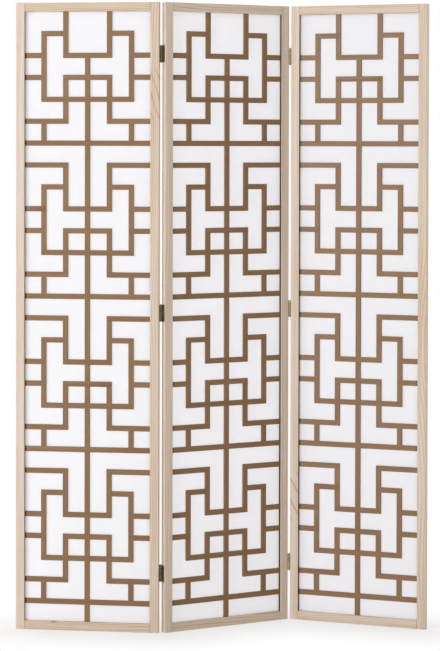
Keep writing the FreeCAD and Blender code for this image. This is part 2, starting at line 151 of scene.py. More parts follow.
def in_panel_axes(points, panel):
    """Points turned into a panel's own axes: along its width, through its depth, up."""
    centre_x, centre_y = panel_centre(panel)
    turn = math.radians(PANEL_TURNS[panel])
    x = points[:, 0] - centre_x
    y = points[:, 1] - centre_y
    width = x * math.cos(turn) + y * math.sin(turn)
    depth = y * math.cos(turn) - x * math.sin(turn)
    return np.stack([width, depth, points[:, 2]], axis=1)


def corner_points(mesh):
    points = np.zeros(len(mesh.vertices) * 3)
    mesh.vertices.foreach_get("co", points)
    return points.reshape(-1, 3)


def half_widths():
    """Half a panel's width and half its opening's, which are the same in all three panels."""
    stile = frame["nodes"]["middle_panel_left_stile"]
    width = in_panel_axes(corner_points(stile.data), "middle")[:, 0]
    return -float(width.min()), -float(width.max())


def separate_pieces(mesh):
    """For each corner of a mesh, the number of the separate solid that it belongs to."""
    points = corner_points(mesh)
    _, spot = np.unique(np.round(points / TOUCHING).astype(np.int64), axis=0, return_inverse=True)
    spot = spot.ravel()
    edges = np.zeros(len(mesh.edges) * 2, dtype=np.int64)
    mesh.edges.foreach_get("vertices", edges)
    ends = spot[edges.reshape(-1, 2)]
    label = np.arange(spot.max() + 1)
    while True:
        lowest = np.minimum(label[ends[:, 0]], label[ends[:, 1]])
        joined = label.copy()
        np.minimum.at(joined, ends[:, 0], lowest)
        np.minimum.at(joined, ends[:, 1], lowest)
        if np.array_equal(joined, label):
            break
        label = joined
    _, numbers = np.unique(label, return_inverse=True)
    return numbers.ravel()[spot]


def store(mesh, name, kind, values):
    layer = mesh.attributes.get(name) or mesh.attributes.new(name, kind, "POINT")
    field = "vector" if kind == "FLOAT_VECTOR" else "value"
    layer.data.foreach_set(field, np.ascontiguousarray(values, dtype=np.float32).ravel())


PANEL_HALF, OPENING_HALF = half_widths()

# How deep the stiles' groove is, in metres.
GROOVE_DEPTH = 0.008
GROOVE_FLOOR = OPENING_HALF + GROOVE_DEPTH

# The painted shade in the grooves comes and goes at these places, in metres: past the opening's
# edge, past the groove's floor, and twice behind the middle of the paper.
GROOVE_SHADE_EDGE = (-0.0006, -0.0001)
GROOVE_SHADE_FLOOR = (0.0, 0.0007)
GROOVE_SHADE_FRONT = (-0.0094, -0.0086)
GROOVE_SHADE_BACK = (0.0010, 0.0016)

# Where the painted shadow on the strips' left ends and the painted shade on the paper's margin come,
# in metres past the opening's edge.
END_SHADOW_EDGE = (-0.0068, -0.0040)
PAPER_MARGIN_EDGE = (-0.0002, 0.0004)


# ---- sizes and colours ------------------------------------------------------------------


def colour(name, description, default):
    return bpy.props.FloatVectorProperty(
        name=name, description=description, default=default, size=3, min=0, max=1, subtype="COLOR"
    )


def length(name, description, default):
    return bpy.props.FloatProperty(
        name=name, description=description, default=default, min=0, unit="LENGTH", precision=5
    )


def share(name, description, default):
    return bpy.props.FloatProperty(
        name=name, description=description, default=default, min=0, max=1, subtype="FACTOR"
    )


def power(name, description, default):
    return bpy.props.FloatProperty(
        name=name, description=description, default=default, min=0, unit="POWER"
    )


def strength(name, description, default):
    return bpy.props.FloatProperty(name=name, description=description, default=default, min=0)


class PineLook(bpy.types.PropertyGroup):
    """The bare pine of the frames"""

    early_wood: colour("Early wood", "Pale part of a growth ring", (0.672, 0.580, 0.508))
    late_wood: colour("Late wood", "Darker part of a growth ring", (0.475, 0.338, 0.208))
    ring_spacing: length("Ring spacing", "From one growth ring to the next", 0.0055)
    contrast: share("Grain contrast", "How clearly the rings show", 0.52)
    roughness: share("Roughness", "Roughness of the sanded wood", 0.55)
    edge_width: length("Edge width", "Width of the rubbed edges", 0.0012)


class LatticeLook(bpy.types.PropertyGroup):
    """The stained wood of the lattice strips"""

    early_wood: colour("Early wood", "Paler part of the stained grain", (0.234, 0.129, 0.053))
    late_wood: colour("Late wood", "Darker part of the stained grain", (0.148, 0.073, 0.025))
    ring_spacing: length("Ring spacing", "From one growth ring to the next", 0.0024)
    contrast: share("Grain contrast", "How clearly the rings show", 0.40)
    roughness: share("Roughness", "Roughness of the satin finish", 0.56)
    edge_width: length("Edge width", "Width of the rubbed edges", 0.0006)
    eased_edge: length("Eased edge", "Width of the round sanded on a strip's edges", 0.00035)


class PaperLook(bpy.types.PropertyGroup):
    """The translucent sheet behind the lattice"""

    sheet: colour("Sheet", "Colour of the paper", (0.895, 0.900, 0.940))
    fibre: colour("Fibre", "Colour of the denser fibres", (0.85, 0.85, 0.895))
    # The paper's margin in the groove gets painted shade in this colour.
    margin: colour("Margin", "Colour of the paper in the groove", (0.30, 0.185, 0.105))
    translucency: share("Translucency", "Share of the light that comes through", 0.70)
    fibre_length: length("Fibre length", "Length of the paper's longer fibres", 0.018)


class MetalLook(bpy.types.PropertyGroup):
    """Hinges and screws"""

    bronze: colour("Bronze", "Dark plate of the hinges", (0.35, 0.305, 0.18))
    worn_bronze: colour("Worn bronze", "Metal where the plate has rubbed off", (0.52, 0.45, 0.28))
    screw: colour("Screw", "Plate of the screws", (0.33, 0.27, 0.17))
    worn_screw: colour("Worn screw", "Bare metal on a screw's edges", (0.72, 0.64, 0.46))
    wear_width: length("Wear width", "How far the wear reaches from an edge", 0.0005)


class StudioLook(bpy.types.PropertyGroup):
    """Floor, lamps and camera"""

    floor: colour("Floor", "Colour of the pale floor", (0.90, 0.90, 0.90))
    shadow_fade: length("Shadow fade", "Distance at which the floor has faded to white", 0.30)
    room_light: strength("Room light", "Strength of the even light all round", 0.42)
    back_light: strength("Back light", "Strength of the bright wall behind", 0.89)
    key_power: power("Key power", "Power of the front lamp", 352)
    left_rear_power: power("Left rear power", "Power of the lamp behind, at the left", 72)
    right_rear_power: power("Right rear power", "Power of the lamp behind, at the right", 22)
    side_power: power("Side power", "Power of the lamp at the right", 27)
    lens: bpy.props.FloatProperty(
        name="Lens", description="Focal length", default=136.4, min=1, unit="CAMERA"
    )
    shift: bpy.props.FloatProperty(
        name="Shift", description="The camera's vertical shift", default=-0.2, min=-1, max=1
    )
    camera_place: bpy.props.FloatVectorProperty(
        name="Camera place",
        description="Where the camera stands",
        default=(0.0579, -7.0529, 1.3874),
        subtype="TRANSLATION",
        unit="LENGTH",
    )
    camera_turn: bpy.props.FloatVectorProperty(
        name="Camera turn",
        description="The camera's tilt down, swing to the right and roll",
        default=(math.radians(1.2398), math.radians(-0.5301), math.radians(0.1205)),
        subtype="EULER",
        unit="ROTATION",
    )


LOOKS = {
    "screen_pine": PineLook,
    "screen_lattice": LatticeLook,
    "screen_paper": PaperLook,
    "screen_metal": MetalLook,
    "screen_studio": StudioLook,
}

WHITE = (1.0, 1.0, 1.0, 1.0)


def opaque(colour_value):
    return (*colour_value, 1.0)


def toned(colour_value, factor):
    """An opaque colour, made darker or paler by one factor."""
    return opaque([min(1.0, channel * factor) for channel in colour_value])


def tinted(colour_value, tint):
    """An opaque colour, with each channel made darker or paler by its own factor."""
    return opaque([channel * factor for channel, factor in zip(colour_value, tint)])


# ---- node helpers -----------------------------------------------------------------------


def plug(tree, socket, value):
    """Joins a socket to another, or sets it to a constant."""
    if isinstance(value, bpy.types.NodeSocket):
        tree.links.new(value, socket)
    else:
        socket.default_value = value


def add_node(tree, kind, settings=None, **inputs):
    node = tree.nodes.new(kind)
    for name, value in (settings or {}).items():
        setattr(node, name, value)
    for name, value in inputs.items():
        plug(tree, node.inputs[name.replace("_", " ")], value)
    return node


def maths(tree, operation, *values, clamp=False):
    node = tree.nodes.new("ShaderNodeMath")
    node.operation = operation
    node.use_clamp = clamp
    for socket, value in zip(node.inputs, values):
        plug(tree, socket, value)
    return node.outputs[0]


def vector_maths(tree, operation, *values):
    node = tree.nodes.new("ShaderNodeVectorMath")
    node.operation = operation
    for socket, value in zip(node.inputs, values):
        plug(tree, socket, value)
    return node.outputs["Value" if operation in ("DOT_PRODUCT", "LENGTH") else "Vector"]


def axes(tree, place):
    """The three parts of a place."""
    return add_node(tree, "ShaderNodeSeparateXYZ", Vector=place).outputs


def blended(tree, factor, first, second, kind="MIX"):
    node = tree.nodes.new("ShaderNodeMix")
    node.data_type = "RGBA"
    node.blend_type = kind
    for name, value in (("Factor_Float", factor), ("A_Color", first), ("B_Color", second)):
        socket = next(s for s in node.inputs if s.identifier == name)
        plug(tree, socket, value)
    return next(s for s in node.outputs if s.identifier == "Result_Color")


def rising(tree, value, low, high):
    """0 below low, 1 above high, and a smooth rise between them."""
    node = add_node(tree, "ShaderNodeMapRange", {"interpolation_type": "SMOOTHSTEP"})
    for name, amount in (("Value", value), ("From Min", low), ("From Max", high)):
        plug(tree, node.inputs[name], amount)
    return node.outputs["Result"]


def falling(tree, value, low, high):
    """1 below low, 0 above high, and a smooth fall between them."""
    return maths(tree, "SUBTRACT", 1.0, rising(tree, value, low, high))


def noise(tree, place, scale, detail=2.0, roughness=0.5, distortion=0.0):
    node = add_node(
        tree,
        "ShaderNodeTexNoise",
        Vector=place,
        Scale=scale,
        Detail=detail,
        Roughness=roughness,
        Distortion=distortion,
    )
    return node.outputs["Fac"]


def stretched_noise(tree, place, cells, detail=2.0, roughness=0.5):
    """Noise with its own number of cells in a metre on each axis."""
    return noise(tree, vector_maths(tree, "MULTIPLY", place, cells), 1.0, detail, roughness)


def centred(tree, value):
    """A value from 0 to 1 moved to lie evenly about 0."""
    return maths(tree, "SUBTRACT", value, 0.5)


FLOAT = "NodeSocketFloat"
VECTOR = "NodeSocketVector"
COLOUR = "NodeSocketColor"


def new_group(name, inputs, outputs):
    """A shader node group with named sockets, and its input and output sockets."""
    group = bpy.data.node_groups.new(name, "ShaderNodeTree")
    for socket_name, kind, default in inputs:
        socket = group.interface.new_socket(name=socket_name, in_out="INPUT", socket_type=kind)
        if default is not None:
            socket.default_value = default
    for socket_name, kind in outputs:
        group.interface.new_socket(name=socket_name, in_out="OUTPUT", socket_type=kind)
    given = group.nodes.new("NodeGroupInput").outputs
    result = group.nodes.new("NodeGroupOutput").inputs
    return group, given, result


def shared_group(name, build):
    """The group of that name, built the first time it is asked for."""
    return bpy.data.node_groups.get(name) or build(name)


def use_group(tree, group, **inputs):
    return add_node(tree, "ShaderNodeGroup", {"node_tree": group}, **inputs)


# ---- shared effects ---------------------------------------------------------------------

# Noise cells in a metre of board: along it, across it and through it.
RING_CELLS = (1.6, 9.0, 9.0)
FIBRE_CELLS = (9.0, 620.0, 620.0)
STREAK_CELLS = (2.4, 95.0, 95.0)
HEART_CELLS = (2.1, 26.0, 26.0)

# How far the growth rings drift, in metres, how they lean through the board, and how crisp they are.
RING_DRIFT = 0.075
RING_LEAN = 0.55
RING_CRISPNESS = 2.2

# How much the fibres, the streaks and a piece's own tone darken the wood.
FIBRE_SHARE = 0.5
STREAK_SHARE = 1.0
TONE_SHARE = 0.62

# How much the fibres roughen the wood, and how high the rings stand against the fibres.
FIBRE_ROUGHNESS = 0.3
RING_HEIGHT = 0.35

# How strong the warm streaks of heartwood are, and their tint.
HEART_SHARE = 0.55
HEART_TINT = (1.0, 0.93, 0.86, 1.0)

# About half the knot's size along its board and up it, the noise on its rim, and how dark it is.
KNOT_SIZE = (0.013, 0.0042, 1.0)
KNOT_CELLS = (90.0, 400.0, 0.0)
KNOT_DEPTH = 0.75

# The slanting rings: the noise that bends them, how far it does, and how far up they reach.
FLAME_CELLS = (20.0, 14.0, 0.0)
FLAME_WAVER = 0.03
FLAME_REACH = (0.055, 0.085)

# The paper's two sets of strands: their slope in radians, their stretch, and where they begin.
STRAND_SETS = ((0.6, (1.0, 1.0, 7.0), 0.56), (-0.9, (6.0, 1.0, 1.0), 0.57))
STRAND_RISE = 0.12

# How much the strands and the cloudy patches thicken the paper.
STRAND_SHARE = 0.45
CLOUD_SHARE = 0.5

# Fine scratches along a hinge, as noise cells in a metre, and how much of the plate they take.
SCRATCH_CELLS = (2200.0, 2200.0, 240.0)
SCRATCH_SHARE = 0.22

# How much darker and brighter than its colour the plate's patches are.
DULL_PATCH = (0.55, 0.55, 0.55, 1.0)
BRIGHT_PATCH = (1.3, 1.3, 1.3, 1.0)

# The plate's least roughness, what its patches add to it, and what wear takes off.
PLATE_ROUGHNESS = 0.3
PATCH_ROUGHNESS = 0.3
WORN_POLISH = 0.12


def build_rubbed_edge(name):
    """A rounded normal near edges, and a mask that is 1 on the edges themselves."""
    group, given, result = new_group(
        name, [("Width", FLOAT, 0.001)], [("Normal", VECTOR), ("Edge", FLOAT)]
    )
    rounded = add_node(group, "ShaderNodeBevel", {"samples": 6}, Radius=given["Width"])
    flat = group.nodes.new("ShaderNodeNewGeometry").outputs["Normal"]
    same = vector_maths(group, "DOT_PRODUCT", rounded.outputs["Normal"], flat)
    edge = rising(group, maths(group, "SUBTRACT", 1.0, same), low=0.01, high=0.22)
    group.links.new(rounded.outputs["Normal"], result["Normal"])
    group.links.new(edge, result["Edge"])
    return group


def build_wood_grain(name):
    """Growth rings, fibres and streaks that run along a piece's own length."""
    group, given, result = new_group(
        name,
        [
            ("Place", VECTOR, None),
            ("Tone", FLOAT, 0.3),
            ("Early wood", COLOUR, None),
            ("Late wood", COLOUR, None),
            ("Ring spacing", FLOAT, 0.004),
            ("Contrast", FLOAT, 0.3),
            ("Roughness", FLOAT, 0.5),
        ],
        [("Colour", COLOUR), ("Roughness", FLOAT), ("Height", FLOAT)],
    )
    place = given["Place"]
    _, across, through = axes(group, place)
    wander = centred(group, stretched_noise(group, place, RING_CELLS, detail=1.5))
    leaning = maths(group, "MULTIPLY_ADD", through, RING_LEAN, across)
    drifted = maths(group, "ADD", leaning, maths(group, "MULTIPLY", wander, RING_DRIFT))
    ring_place = maths(group, "DIVIDE", drifted, given["Ring spacing"])
    wave = maths(group, "SINE", maths(group, "MULTIPLY", ring_place, 2 * math.pi))
    rings = maths(group, "MULTIPLY_ADD", wave, 0.5, 0.5)
    rings = maths(group, "POWER", rings, RING_CRISPNESS)
    fibres = stretched_noise(group, place, FIBRE_CELLS, detail=3.0, roughness=0.62)
    streaks = stretched_noise(group, place, STREAK_CELLS)
    dark = maths(group, "MULTIPLY", rings, given["Contrast"])
    dark = maths(group, "MULTIPLY_ADD", centred(group, fibres), FIBRE_SHARE, dark)
    dark = maths(group, "MULTIPLY_ADD", centred(group, streaks), STREAK_SHARE, dark)
    dark = maths(group, "MULTIPLY_ADD", given["Tone"], TONE_SHARE, dark, clamp=True)
    wood = blended(group, dark, given["Early wood"], given["Late wood"])
    heart = rising(group, stretched_noise(group, place, HEART_CELLS), low=0.5, high=0.72)
    heart = maths(group, "MULTIPLY", heart, HEART_SHARE)
    wood = blended(group, heart, wood, HEART_TINT, "MULTIPLY")
    uneven = centred(group, fibres)
    rough = maths(group, "MULTIPLY_ADD", uneven, FIBRE_ROUGHNESS, given["Roughness"])
    height = maths(group, "MULTIPLY_ADD", rings, RING_HEIGHT, fibres)
    group.links.new(wood, result["Colour"])
    group.links.new(rough, result["Roughness"])
    group.links.new(height, result["Height"])
    return group


def build_knot(name):
    """A small dark knot, drawn out along its board, at the origin of the place it is given."""
    group, given, result = new_group(name, [("Place", VECTOR, None)], [("Mask", FLOAT)])
    stretched = vector_maths(group, "DIVIDE", given["Place"], KNOT_SIZE)
    distance = vector_maths(group, "LENGTH", stretched)
    ragged = stretched_noise(group, given["Place"], KNOT_CELLS)
    core = falling(group, maths(group, "ADD", distance, ragged), low=0.7, high=1.5)
    group.links.new(maths(group, "MULTIPLY", core, KNOT_DEPTH), result["Mask"])
    return group


def build_flame_figure(name):
    """Two thin dark ring lines that slant across a board, as where it was sawn across its rings."""
    group, given, result = new_group(
        name, [("Place", VECTOR, None), ("Spacing", FLOAT, 0.056)], [("Mask", FLOAT)]
    )
    beside, above, steepness = axes(group, given["Place"])
    waver = centred(group, stretched_noise(group, given["Place"], FLAME_CELLS, detail=1.5))
    fall = maths(group, "MULTIPLY_ADD", beside, steepness, above)
    fall = maths(group, "MULTIPLY_ADD", waver, FLAME_WAVER, fall)
    turns = maths(group, "MULTIPLY", maths(group, "DIVIDE", fall, given["Spacing"]), 2 * math.pi)
    trough = maths(group, "MULTIPLY", maths(group, "COSINE", turns), -1.0)
    line = rising(group, trough, low=0.66, high=0.96)
    reach = falling(group, maths(group, "ABSOLUTE", above), *FLAME_REACH)
    group.links.new(maths(group, "MULTIPLY", line, reach), result["Mask"])
    return group


def build_paper_fibres(name):
    """Long pale fibres and cloudy thickness in a sheet of paper."""
    group, given, result = new_group(
        name,
        [
            ("Place", VECTOR, None),
            ("Sheet", COLOUR, None),
            ("Fibre", COLOUR, None),
            ("Fibre length", FLOAT, 0.018),
        ],
        [("Colour", COLOUR), ("Thickness", FLOAT), ("Height", FLOAT)],
    )
    place = given["Place"]
    per_length = maths(group, "DIVIDE", 1.0, given["Fibre length"])
    sets = []
    for slope, stretch, low in STRAND_SETS:
        laid = add_node(
            group, "ShaderNodeMapping", Vector=place, Rotation=(0.0, slope, 0.0), Scale=stretch
        ).outputs["Vector"]
        tangle = noise(group, laid, per_length, detail=4.0, roughness=0.6, distortion=1.6)
        sets.append(rising(group, tangle, low, low + STRAND_RISE))
    strands = maths(group, "MAXIMUM", *sets)
    clouds = noise(group, place, scale=38.0, detail=3.0, roughness=0.6)
    cloudy = maths(group, "MULTIPLY", clouds, CLOUD_SHARE)
    dense = maths(group, "MULTIPLY_ADD", strands, STRAND_SHARE, cloudy, clamp=True)
    group.links.new(blended(group, dense, given["Sheet"], given["Fibre"]), result["Colour"])
    group.links.new(dense, result["Thickness"])
    group.links.new(maths(group, "ADD", strands, clouds), result["Height"])
    return group


def build_aged_metal(name):
    """Dark plate with cloudy patches, fine scratches and bright rubbed edges."""
    group, given, result = new_group(
        name,
        [
            ("Place", VECTOR, None),
            ("Plate", COLOUR, None),
            ("Worn", COLOUR, None),
            ("Edge", FLOAT, 0.0),
        ],
        [("Colour", COLOUR), ("Roughness", FLOAT), ("Height", FLOAT)],
    )
    place = given["Place"]
    patches = noise(group, place, scale=260.0, detail=3.0, roughness=0.6)
    scratches = stretched_noise(group, place, SCRATCH_CELLS)
    scratched = rising(group, scratches, low=0.58, high=0.74)
    rubbed = maths(group, "MULTIPLY", given["Edge"], rising(group, patches, low=0.28, high=0.62))
    worn = maths(group, "MULTIPLY_ADD", scratched, SCRATCH_SHARE, rubbed, clamp=True)
    mottled = blended(group, rising(group, patches, low=0.35, high=0.7), DULL_PATCH, BRIGHT_PATCH)
    plate = blended(group, 1.0, given["Plate"], mottled, "MULTIPLY")
    rough = maths(group, "MULTIPLY_ADD", patches, PATCH_ROUGHNESS, PLATE_ROUGHNESS)
    rough = maths(group, "MULTIPLY_ADD", worn, -WORN_POLISH, rough)
    group.links.new(blended(group, worn, plate, given["Worn"]), result["Colour"])
    group.links.new(rough, result["Roughness"])
    group.links.new(maths(group, "ADD", patches, scratches), result["Height"])
    return group


# ---- materials --------------------------------------------------------------------------

# The share and tint of the slanting rings' lines, as against late wood.
FLAME_SHARE = 0.75
FLAME_TINT = (0.95, 0.78, 0.74)

# The dark line where a rail meets its stiles: its place as a share of the rail's seen half length.
JOINT_LINE = (0.990, 0.998)
JOINT_SHARE = 0.45

# How dark the knot and the joint line are, as against late wood.
KNOT_SHADE = 0.55
JOINT_SHADE = 0.35

# How much of its translucency the paper loses in its dense fibres and gains where it is thin.
DENSE_LOSS = 0.12
THIN_GAIN = 0.05


def new_material(name):
    """An empty node material, its tree, its Principled shader and its output."""
    material = bpy.data.materials.new(name)
    material.use_nodes = True
    tree = material.node_tree
    tree.nodes.clear()
    shader = tree.nodes.new("ShaderNodeBsdfPrincipled")
    output = tree.nodes.new("ShaderNodeOutputMaterial")
    tree.links.new(shader.outputs["BSDF"], output.inputs["Surface"])
    return material, tree, shader, output


def attribute(tree, name, socket):
    node = add_node(tree, "ShaderNodeAttribute", {"attribute_name": name})
    return node.outputs[socket]


def bumped(tree, height, distance, normal, strength=0.5):
    node = add_node(
        tree,
        "ShaderNodeBump",
        Height=height,
        Distance=distance,
        Strength=strength,
        Normal=normal,
    )
    return node.outputs["Normal"]


def place_on_panel(tree):
    """How far a spot is along its panel's width, through its depth and up it."""
    return axes(tree, attribute(tree, PANEL_PLACE, "Vector"))


def past(start, distances):
    return [start + distance for distance in distances]


def painted_groove_shade(tree):
    """Painted shade: 1 on the stiles' inner walls and in their grooves, behind the rounded front
    edges.
    """
    along, depth, _ = place_on_panel(tree)
    beside = maths(tree, "ABSOLUTE", along)
    in_stile = rising(tree, beside, *past(OPENING_HALF, GROOVE_SHADE_EDGE))
    in_groove = falling(tree, beside, *past(GROOVE_FLOOR, GROOVE_SHADE_FLOOR))
    inside = maths(tree, "MULTIPLY", in_stile, in_groove)
    inside = maths(tree, "MULTIPLY", inside, rising(tree, depth, *GROOVE_SHADE_FRONT))
    return maths(tree, "MULTIPLY", inside, falling(tree, depth, *GROOVE_SHADE_BACK))


def painted_strip_end_shadow(tree):
    """Painted shadow: rises to the strips' left ends, where the stile's shadow falls."""
    along, _, _ = place_on_panel(tree)
    leftward = maths(tree, "MULTIPLY", along, -1.0)
    end = rising(tree, leftward, *past(OPENING_HALF, END_SHADOW_EDGE))
    return maths(tree, "MULTIPLY", end, attribute(tree, PAINTED_END_SHADOW, "Fac"))


def wood_material(name, look, paleness, edge_share, bump, shine, shade, shade_depth):
    """Wood with rubbed edges, the marks that its meshes have places for, and the painted shade that
    shade lays on.
    """
    material, tree, shader, _ = new_material(name)
    edges = use_group(tree, shared_group("Rubbed edge", build_rubbed_edge), Width=look.edge_width)
    grain = use_group(
        tree,
        shared_group("Wood grain", build_wood_grain),
        Place=attribute(tree, GRAIN_PLACE, "Vector"),
        Tone=attribute(tree, PIECE_TONE, "Fac"),
        Early_wood=opaque(look.early_wood),
        Late_wood=opaque(look.late_wood),
        Ring_spacing=look.ring_spacing,
        Contrast=look.contrast,
        Roughness=look.roughness,
    )
    knot = use_group(
        tree, shared_group("Knot", build_knot), Place=attribute(tree, KNOT_PLACE, "Vector")
    )
    flame = use_group(
        tree,
        shared_group("Flame figure", build_flame_figure),
        Place=attribute(tree, FLAME_PLACE, "Vector"),
    )
    along_rail = maths(tree, "ABSOLUTE", attribute(tree, RAIL_PLACE, "Fac"))
    rail_end = rising(tree, along_rail, *JOINT_LINE)
    rubbed = maths(tree, "MULTIPLY", edges.outputs["Edge"], edge_share)
    flamed = maths(tree, "MULTIPLY", flame.outputs["Mask"], FLAME_SHARE)
    joint_line = maths(tree, "MULTIPLY", rail_end, JOINT_SHARE)
    wood = blended(tree, rubbed, grain.outputs["Colour"], toned(look.early_wood, paleness))
    wood = blended(tree, knot.outputs["Mask"], wood, toned(look.late_wood, KNOT_SHADE))
    wood = blended(tree, flamed, wood, tinted(look.late_wood, FLAME_TINT))
    wood = blended(tree, joint_line, wood, toned(look.late_wood, JOINT_SHADE))
    # Painted shade: the stiles' grooves darkened for pine, the strips' left ends for the lattice.
    wood = blended(tree, shade(tree), wood, toned(look.late_wood, shade_depth))
    plug(tree, shader.inputs["Base Color"], wood)
    plug(tree, shader.inputs["Roughness"], grain.outputs["Roughness"])
    height = grain.outputs["Height"]
    normal = bumped(tree, height, distance=bump, normal=edges.outputs["Normal"])
    plug(tree, shader.inputs["Normal"], normal)
    shader.inputs["Specular IOR Level"].default_value = shine
    return material


def pine_material(look):
    return wood_material(
        "Sanded pine",
        look,
        paleness=1.12,
        edge_share=0.6,
        bump=0.00012,
        shine=0.3,
        # Painted shade on the stiles' inner walls and in their grooves.
        shade=painted_groove_shade,
        shade_depth=0.34,
    )


def lattice_material(look):
    return wood_material(
        "Stained strips",
        look,
        paleness=1.35,
        edge_share=0.55,
        bump=0.00008,
        shine=0.5,
        # The painted shadow on the strips' left ends by the stile.
        shade=painted_strip_end_shadow,
        shade_depth=0.10,
    )


def paper_material(look):
    """Fibre paper: part of the light bounces off, and part comes through from the other side."""
    material, tree, shader, output = new_material("Shoji paper")
    fibres = use_group(
        tree,
        shared_group("Paper fibres", build_paper_fibres),
        Place=attribute(tree, GRAIN_PLACE, "Vector"),
        Sheet=opaque(look.sheet),
        Fibre=opaque(look.fibre),
        Fibre_length=look.fibre_length,
    )
    along, _, _ = place_on_panel(tree)
    beside = maths(tree, "ABSOLUTE", along)
    # The paper's margin in the stiles' grooves gets painted shade.
    margin = rising(tree, beside, *past(OPENING_HALF, PAPER_MARGIN_EDGE))
    sheet = blended(tree, margin, fibres.outputs["Colour"], opaque(look.margin))
    surface = add_node(
        tree, "ShaderNodeBump", Height=fibres.outputs["Height"], Distance=0.00005, Strength=0.4
    )
    plug(tree, shader.inputs["Base Color"], sheet)
    plug(tree, shader.inputs["Normal"], surface.outputs["Normal"])
    shader.inputs["Roughness"].default_value = 0.75
    shader.inputs["Specular IOR Level"].default_value = 0.2
    through = add_node(tree, "ShaderNodeBsdfTranslucent", Color=sheet)
    clear_share = maths(
        tree,
        "MULTIPLY_ADD",
        fibres.outputs["Thickness"],
        -DENSE_LOSS,
        look.translucency + THIN_GAIN,
    )
    mixed = add_node(tree, "ShaderNodeMixShader", Fac=clear_share)
    tree.links.new(shader.outputs["BSDF"], mixed.inputs[1])
    tree.links.new(through.outputs["BSDF"], mixed.inputs[2])
    far_face = tree.nodes.new("ShaderNodeNewGeometry").outputs["Backfacing"]
    unseen = tree.nodes.new("ShaderNodeBsdfTransparent")
    one_layer = add_node(tree, "ShaderNodeMixShader", Fac=far_face)
    tree.links.new(mixed.outputs["Shader"], one_layer.inputs[1])
    tree.links.new(unseen.outputs["BSDF"], one_layer.inputs[2])
    tree.links.new(one_layer.outputs["Shader"], output.inputs["Surface"])
    return material


def metal_material(name, plate, worn, wear_width):
    material, tree, shader, _ = new_material(name)
    edges = use_group(tree, shared_group("Rubbed edge", build_rubbed_edge), Width=wear_width)
    metal = use_group(
        tree,
        shared_group("Aged metal", build_aged_metal),
        Place=attribute(tree, GRAIN_PLACE, "Vector"),
        Plate=opaque(plate),
        Worn=opaque(worn),
        Edge=edges.outputs["Edge"],
    )
    plug(tree, shader.inputs["Base Color"], metal.outputs["Colour"])
    plug(tree, shader.inputs["Roughness"], metal.outputs["Roughness"])
    height = metal.outputs["Height"]
    normal = bumped(tree, height, distance=0.00004, normal=edges.outputs["Normal"])
    plug(tree, shader.inputs["Normal"], normal)
    shader.inputs["Metallic"].default_value = 1.0
    return material


# ---- the pieces -------------------------------------------------------------------------


def dress(piece, material):
    piece.data.materials.clear()
    piece.data.materials.append(material)


def mark_rail_ends(mesh, panel):
    """Stores how far along a rail a corner lies: -1 and 1 are the ends of what shows."""
    width = in_panel_axes(corner_points(mesh), panel)[:, 0]
    store(mesh, RAIL_PLACE, "FLOAT", width / OPENING_HALF)


def lay_grain(mesh, node_name, upright, tone, tone_spread):
    """Gives every piece of wood its own stretch of grain along its length, and its own tone."""
    local = in_panel_axes(corner_points(mesh), panel_of(node_name))
    width, depth, rise = local.T
    along, across = (rise, width) if upright else (width, rise)
    pieces = separate_pieces(mesh)
    count = pieces.max() + 1
    chance = np.random.default_rng(sum(node_name.encode()) * 31 + len(node_name))
    cut_from = chance.uniform(0.0, GRAIN_BLOCK, (count, 3))
    place = np.stack([along, across, depth], 1) + cut_from[pieces]
    tones = tone + chance.uniform(-tone_spread, tone_spread, count)
    knot_along, knot_height = KNOTS.get(node_name, (FAR_AWAY, FAR_AWAY))
    from_knot = np.stack([width - knot_along, rise - knot_height, np.zeros(len(width))], 1)
    flame_along, flame_height, steepness = FLAMES.get(node_name, (FAR_AWAY, -FAR_AWAY, 1.0))
    steep = np.full(len(width), steepness)
    from_flame = np.stack([width - flame_along, rise - flame_height, steep], 1)
    store(mesh, GRAIN_PLACE, "FLOAT_VECTOR", place)
    store(mesh, PIECE_TONE, "FLOAT", tones[pieces])
    store(mesh, KNOT_PLACE, "FLOAT_VECTOR", from_knot)
    store(mesh, FLAME_PLACE, "FLOAT_VECTOR", from_flame)
    store(mesh, PANEL_PLACE, "FLOAT_VECTOR", local)


def eased_copy(node_name, ease):
    """A node's solids as whole-faced meshes, with a narrow round on their outer edges."""
    source = frame["nodes"][node_name]
    flat = math.radians(1.0)
    sharp = math.radians(30.0)
    shape = bmesh.new()
    shape.from_mesh(source.data)
    bmesh.ops.remove_doubles(shape, verts=shape.verts, dist=TOUCHING)
    bmesh.ops.dissolve_limit(shape, angle_limit=flat, verts=shape.verts, edges=shape.edges)
    outer = [e for e in shape.edges if e.is_convex and e.calc_face_angle(0.0) > sharp]
    bmesh.ops.bevel(
        shape,
        geom=outer,
        offset=ease,
        offset_type="OFFSET",
        segments=2,
        profile=0.5,
        affect="EDGES",
        clamp_overlap=True,
    )
    mesh = bpy.data.meshes.new(node_name + "_eased")
    shape.to_mesh(mesh)
    shape.free()
    mesh.update()
    piece = bpy.data.objects.new(node_name + "_eased", mesh)
    bpy.context.scene.collection.objects.link(piece)
    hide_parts(node_name)
    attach(piece, source["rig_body"])
    return piece


class SCREEN_OT_frames(bpy.types.Operator):
    """Gives the stiles and rails bare sanded pine"""

    bl_idname = "screen.frames"
    bl_label = "Pine frames"

    def execute(self, context):
        pine = pine_material(context.scene.screen_pine)
        for panel in PANELS:
            for member in UPRIGHT_FRAME + LEVEL_FRAME:
                name = "%s_panel_%s" % (panel, member)
                node = frame["nodes"][name]
                lay_grain(node.data, name, member in UPRIGHT_FRAME, BOARD_TONES[name], 0.0)
                if member in LEVEL_FRAME:
                    mark_rail_ends(node.data, panel)
                dress(node, pine)
        return {"FINISHED"}


